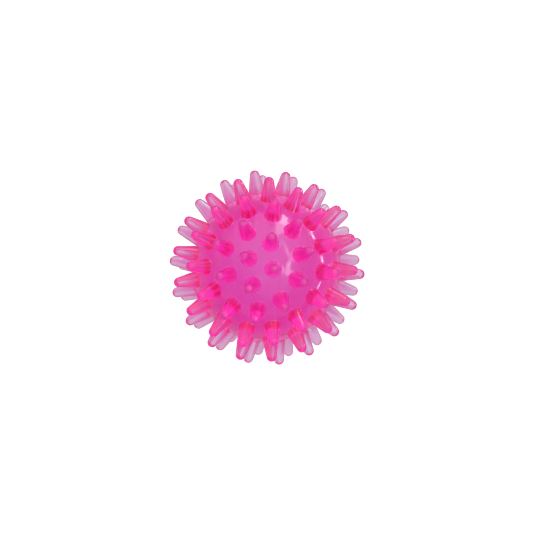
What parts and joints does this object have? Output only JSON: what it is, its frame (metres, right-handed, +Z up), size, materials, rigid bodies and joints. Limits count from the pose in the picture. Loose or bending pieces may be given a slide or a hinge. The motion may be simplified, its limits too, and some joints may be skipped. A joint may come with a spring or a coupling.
{
  "type": "spiky sensory ball",
  "caption": "Hollow ball of clear pink rubber, welded from two half shells and covered in tapered, round-tipped spikes, for gripping, rolling and feeling.",
  "frame": {"origin": "centre of the hollow body, which is also the ball's centre of mass", "axes": "+Z up, with the ball standing on the lower pole spike and two of its neighbours; the upper pole leans towards +X; Y completes the right-handed frame"},
  "size_m": [0.074, 0.074, 0.0739],
  "materials": {
    "clear_pink_rubber": "glossy, clear, tinted hot pink"
  },
  "bodies": {
    "root": {"upper_half_shell": "clear_pink_rubber", "lower_half_shell": "clear_pink_rubber", "weld_band": "clear_pink_rubber", "upper_pole_spike": "clear_pink_rubber", "upper_spike_ring_1": "clear_pink_rubber", "upper_spike_ring_2": "clear_pink_rubber", "upper_spike_ring_3": "clear_pink_rubber", "upper_spike_ring_4": "clear_pink_rubber", "lower_pole_spike": "clear_pink_rubber", "lower_spike_ring_1": "clear_pink_rubber", "lower_spike_ring_2": "clear_pink_rubber", "lower_spike_ring_3": "clear_pink_rubber", "lower_spike_ring_4": "clear_pink_rubber"}
  },
  "joints": []
}
